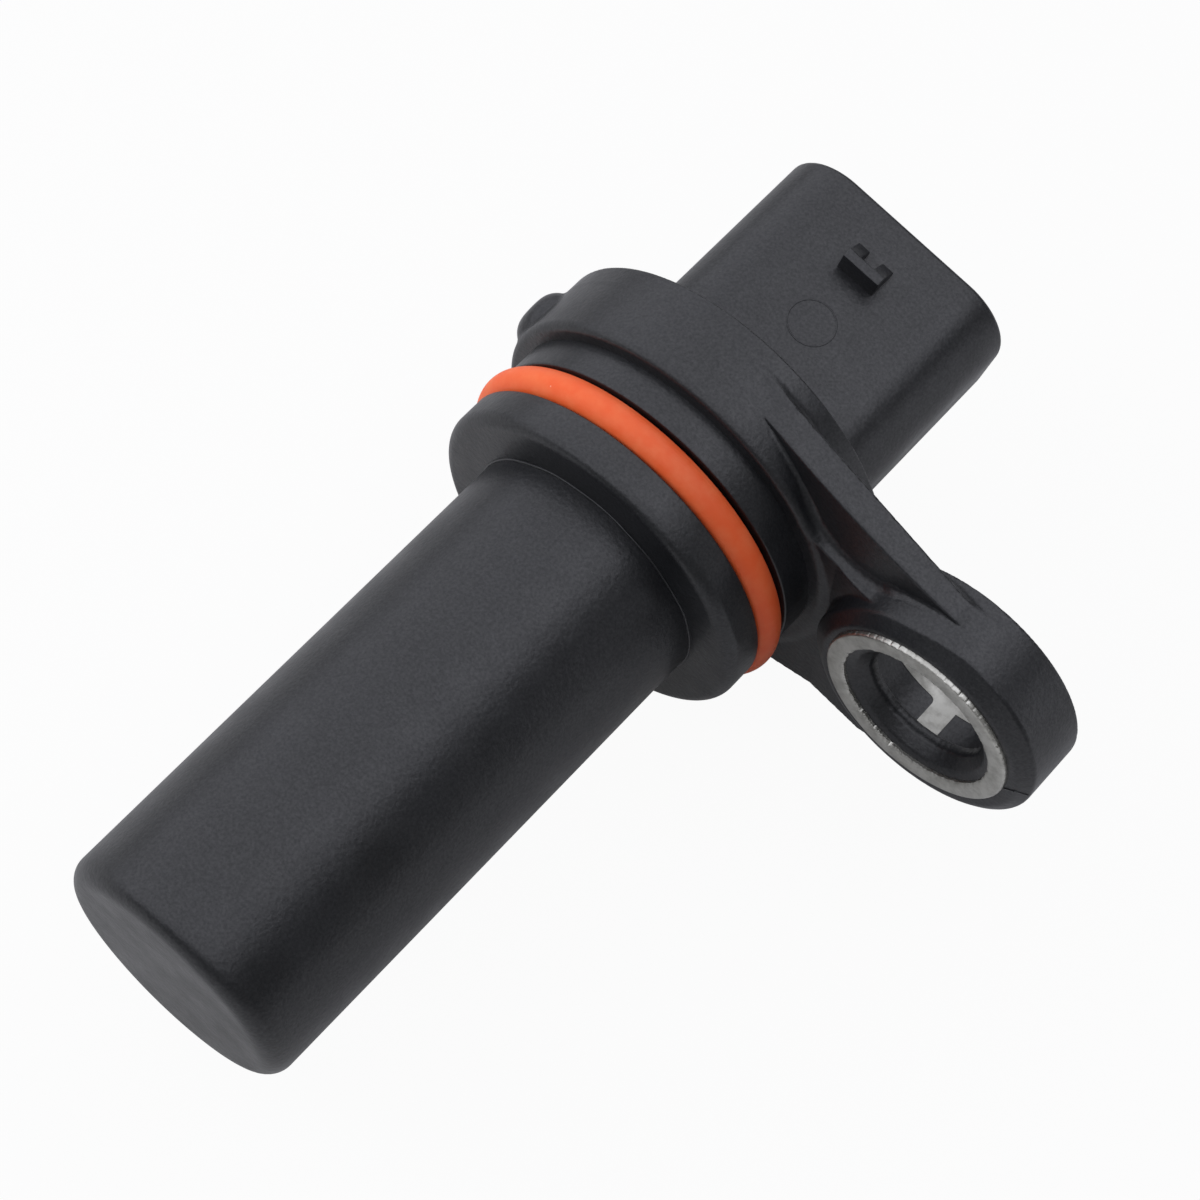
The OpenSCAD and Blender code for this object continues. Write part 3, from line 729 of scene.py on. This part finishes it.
class SENSOR_OT_bushing(bpy.types.Operator):
    """Builds the windowed steel bushing with its serrated outside"""
    bl_idname = "sensor.bushing"
    bl_label = "Bolt Bushing"

    def execute(self, context):
        s = in_mm(context.scene.sensor_inserts)
        centre = ((BUSH_LOW.x + BUSH_HIGH.x) / 2 / MM, (BUSH_LOW.z + BUSH_HIGH.z) / 2 / MM)
        inner, outer = s["bush_inner"], (BUSH_HIGH.x - BUSH_LOW.x) / 2 / MM
        depth, ring, half, teeth = BUSH_HIGH.y / MM, s["bush_ring"], s["bush_leg"] / 2, s["serrations"]

        def worn(angle, radius, along):
            """Uneven serrations outside, and a burr at the front of the bore, worst at its lower left"""
            tooth = 0.06 * np.exp(-(np.sin(teeth / 2 * angle) / 0.35) ** 2)
            tooth = tooth * (0.6 + 0.4 * np.sin(7 * angle) * np.sin(17 * angle))
            burr = 0.035 * np.sin(31 * angle) * np.sin(7 * angle + 1)
            burr = burr + 0.03 * np.sin(83 * angle) * np.sin(37 * angle + 1)
            burr = burr * (1 + 1.2 * np.exp(-((angle - 4.2) / 0.5) ** 2))
            at_bore = (radius < inner + 0.15) * (along < 0.35)
            return radius - tooth * (radius > outer - 0.06) + burr * at_bore, along

        points, faces = [], []

        def gather(more, quads):
            """Adds points and faces to the bushing"""
            first = len(points)
            points.extend(np.asarray(more).tolist())
            faces.extend([tuple(first + k for k in q) for q in quads])

        edge = 0.22
        front = arc((outer - edge, edge), edge, -90, 0, 6)
        front += [(outer, ring), (inner, ring), (inner, 0.14), (inner + 0.1, 0.04), (inner + 0.22, 0.0)]
        back = arc((outer - edge, depth - edge), edge, 0, 90, 6)
        back += [(inner + 0.15, depth), (inner, depth - 0.15), (inner, depth - ring), (outer, depth - ring)]
        gather(*turned(front, 768, centre, worn))
        gather(*turned(back, 192, centre))
        # Four legs join the rings; on one side each flares into them with a rounded window corner.
        corner, across = 0.45, 7
        low, high = ring - 0.02, depth - ring + 0.02
        stations = np.concatenate([np.linspace(low, low + corner, 7), np.linspace(high - corner, high, 7)])
        loop = list(range(across)) + list(reversed(range(across, 2 * across)))
        count = len(loop)
        quads = [(k + loop[m], k + loop[(m + 1) % count], k + count + loop[(m + 1) % count], k + count + loop[m])
                 for k in range(0, count * (len(stations) - 1), count) for m in range(count)]
        for quarter in range(4):
            rows = []
            for y in stations:
                gap = max(corner - min(y - low, high - y), 0.0)
                flare = half + corner - math.sqrt(max(corner ** 2 - gap ** 2, 0.0))
                for radius in (inner, outer - 0.05):
                    for t in np.linspace(-flare / inner, half / inner, across):
                        a = t + quarter * math.pi / 2
                        rows.append((centre[0] + radius * math.cos(a), y, centre[1] + radius * math.sin(a)))
            gather(rows, quads)
        c = context.scene.sensor_colours
        bush = piece_from("bolt_bushing_steel", points, faces, crease=40)
        # From 0.9 mm deep the zinc is darkened with painted shade, for the shade inside the bore.
        zinc = plated_metal("zinc_plated_rolled_steel", c.zinc, c.zinc_dull, 0.36, 1.1, 0.25, painted_shade_from=0.9)
        finished(bush, zinc)
        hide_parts("bolt_bushing")
        return {"FINISHED"}


class SENSOR_OT_inner(bpy.types.Operator):
    """Gives the terminals and the sealed inner pieces their finishes"""
    bl_idname = "sensor.inner"
    bl_label = "Terminals and Inner Pieces"

    def execute(self, context):
        c = context.scene.sensor_colours

        def metal(name, bright, dulled, *pattern):
            """A plated or bare metal whose dull patches have this share of its brightness"""
            return plated_metal(name, bright, tuple(v * dulled for v in bright), *pattern)

        tin = metal("tin_plated_bronze_stamped", c.tin, 0.8, 0.3, 1.5, 0.3)
        finishes = {
            "terminal": tin, "chip_lead": tin,
            "pole_plate": metal("soft_iron_punched", c.iron, 0.7, 0.42, 1.2, 0.2),
            "bias_magnet": metal("nickel_plated_magnet", c.nickel, 0.9, 0.2, 2.0, 0.4),
            "sensor_carrier": plain_casting("polyester_moulded", c.polyester, 0.5, 0.25, 1.55),
            "hall_chip": plain_casting("epoxy_moulded", c.epoxy, 0.4, 0.15, 1.55),
            "capacitor": plain_casting("ceramic_glazed", c.ceramic, 0.25, 0.3, 1.6),
        }
        for name, node in frame["nodes"].items():
            for start, finish in finishes.items():
                if name.startswith(start):
                    node.data.materials.clear()
                    node.data.materials.append(finish)
        return {"FINISHED"}


def white_share(tree, direct, mirrored):
    """Share of plain white in what is seen: directly by the camera, and in reflections or through glass"""
    path = add(tree, "ShaderNodeLightPath").outputs
    bounced = math_node(tree, "MAXIMUM", path["Is Glossy Ray"], path["Is Transmission Ray"])
    part = math_node(tree, "MULTIPLY", bounced, mirrored)
    return math_node(tree, "MULTIPLY_ADD", path["Is Camera Ray"], direct, part)


class SENSOR_OT_stage(bpy.types.Operator):
    """Sets up the pale floor, the soft studio light and the camera"""
    bl_idname = "sensor.stage"
    bl_label = "Studio"

    def execute(self, context):
        scene = context.scene
        scene.view_settings.view_transform = "Standard"
        white = (1, 1, 1, 1)
        reach, ground = 2000.0, CAD_BOX[0].z / MM - 0.05
        corners = [(x * reach, y * reach, ground) for x, y in ((-1, -1), (1, -1), (1, 1), (-1, 1))]
        floor = piece_from("floor", corners, [(0, 1, 2, 3)])
        paper = bpy.data.materials.new("white_paper_floor")
        tree = fresh_nodes(paper)
        matt = add(tree, "ShaderNodeBsdfDiffuse", {"Color": (*scene.sensor_colours.paper, 1)})
        glow = add(tree, "ShaderNodeEmission", {"Color": white, "Strength": 1.0})
        # The rest of what the camera sees is the lit paper, which keeps the sensor's shadow.
        both = add(tree, "ShaderNodeMixShader", {0: white_share(tree, 0.95, 0.1),
                                                 1: matt.outputs["BSDF"], 2: glow.outputs["Emission"]})
        add(tree, "ShaderNodeOutputMaterial", {"Surface": both.outputs["Shader"]})
        floor.data.materials.append(paper)

        scene.world = bpy.data.worlds.new("studio_room")
        tree = fresh_nodes(scene.world)
        room = add(tree, "ShaderNodeBackground", {"Color": white, "Strength": 0.05})
        wall = add(tree, "ShaderNodeBackground", {"Color": white, "Strength": 1.0})
        both = add(tree, "ShaderNodeMixShader", {0: white_share(tree, 1.0, 0.1),
                                                 1: room.outputs["Background"], 2: wall.outputs["Background"]})
        add(tree, "ShaderNodeOutputWorld", {"Surface": both.outputs["Shader"]})

        # One large panel stands over the sensor from the left to a little past overhead, with a brighter
        # patch near its right edge; the right side of the room stays dark but for a small card behind the
        # ear. A low wash from the left stands for light off the floor, and isn't seen in reflections.
        cool, warm = (0.96, 0.97, 1.06), (1.0, 0.99, 0.96)
        # Name, direction, distance in metres, width in metres, brightness, tint, seen in reflections.
        lamps = (("softbox", (-0.342, 0.0, 0.94), 0.35, 1.32, 0.97, cool, True),
                 ("softbox_patch", (0.30, 0.42, 0.86), 0.5, 0.2, 0.5, cool, True),
                 ("side_card", (0.86, 0.46, 0.17), 0.11, 0.05, 0.6, cool, True),
                 ("floor_wash", (-0.85, -0.35, 0.4), 0.4, 0.15, 9.0, warm, False))
        for name, side, distance, wide, bright, tint, mirrored in lamps:
            lamp = bpy.data.lights.new(name, "AREA")
            lamp.shape, lamp.size, lamp.energy = "SQUARE", wide, math.pi * bright * wide ** 2
            lamp.color = tint
            light = bpy.data.objects.new(name, lamp)
            light.location = distance * Vector(side).normalized()
            light.rotation_mode = "QUATERNION"
            light.rotation_quaternion = Vector(side).to_track_quat("Z", "Y")
            light.visible_camera, light.visible_glossy = False, mirrored
            scene.collection.objects.link(light)

        view = bpy.data.cameras.new("camera")
        view.lens, view.sensor_width = 90.0, 36.0
        view.clip_start, view.clip_end = 0.01, 10.0
        camera = bpy.data.objects.new("camera", view)
        camera.location = (0.056173, -0.078984, 0.173792)
        camera.rotation_mode = "QUATERNION"
        camera.rotation_quaternion = Quaternion((0.908694, 0.227001, 0.065087, 0.344251))
        scene.collection.objects.link(camera)
        scene.camera = camera
        return {"FINISHED"}


class SENSOR_PT_panel(bpy.types.Panel):
    """Lists the builders and their sizes"""
    bl_idname = "SENSOR_PT_panel"
    bl_label = "Crankshaft Position Sensor"
    bl_space_type = "VIEW_3D"
    bl_region_type = "UI"
    bl_category = "Sensor"

    def draw(self, context):
        for operator in OPERATORS:
            self.layout.operator(operator.bl_idname)
        for group in GROUPS:
            box = self.layout.box()
            values = getattr(context.scene, group)
            for key in values.bl_rna.properties.keys():
                if key not in ("rna_type", "name"):
                    box.prop(values, key)


OPERATORS = (SENSOR_OT_stage, SENSOR_OT_spigot, SENSOR_OT_flange, SENSOR_OT_shroud, SENSOR_OT_plug_details,
             SENSOR_OT_nose, SENSOR_OT_seal, SENSOR_OT_bushing, SENSOR_OT_inner)
GROUPS = {"sensor_body": BodySizes, "sensor_plug": PlugSizes,
          "sensor_inserts": InsertSizes, "sensor_colours": FinishColours}


def register():
    for cls in (*GROUPS.values(), *OPERATORS, SENSOR_PT_panel):
        bpy.utils.register_class(cls)
    for name, group in GROUPS.items():
        setattr(bpy.types.Scene, name, PointerProperty(type=group))


def unregister():
    for name in GROUPS:
        delattr(bpy.types.Scene, name)
    for cls in reversed((*GROUPS.values(), *OPERATORS, SENSOR_PT_panel)):
        bpy.utils.unregister_class(cls)


def main():
    register()
    for operator in OPERATORS:
        group, name = operator.bl_idname.split(".")
        getattr(getattr(bpy.ops, group), name)()


if __name__ == "__main__":
    main()
